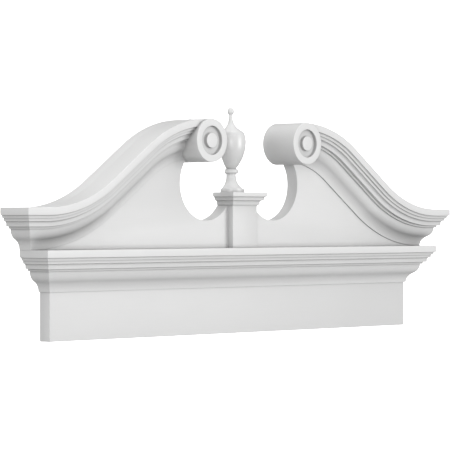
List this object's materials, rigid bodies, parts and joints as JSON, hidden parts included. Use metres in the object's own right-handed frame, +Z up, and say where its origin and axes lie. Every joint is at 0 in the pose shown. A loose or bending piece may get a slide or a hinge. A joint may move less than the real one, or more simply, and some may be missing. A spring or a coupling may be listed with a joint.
{
  "type": "broken scroll pediment",
  "caption": "Swan-neck door pediment: frieze board, returned cornice, two S-curved crown mouldings ending in round scrolls, notched tympanum, and a capped pedestal with a half-round urn.",
  "frame": {"origin": "on the wall plane, at the middle of the back of the frieze board: centre line of the width, mid-height of the board", "axes": "+X right along the width seen from the front, +Y into the wall, +Z up; the front looks towards -Y"},
  "size_m": [1.426, 0.098, 0.527],
  "materials": {
    "boards": "white satin paint on foamed PVC board",
    "mouldings": "white satin paint on foamed PVC crown moulding",
    "turnings": "white satin paint on turned foamed PVC"
  },
  "bodies": {
    "root": {"frieze_board": "boards", "cornice": "mouldings", "tympanum": "boards", "swan_neck_left": "mouldings", "swan_neck_right": "mouldings", "scroll_left": "turnings", "scroll_right": "turnings", "pedestal": "boards", "pedestal_cap": "mouldings", "urn_finial": "turnings"}
  },
  "joints": []
}
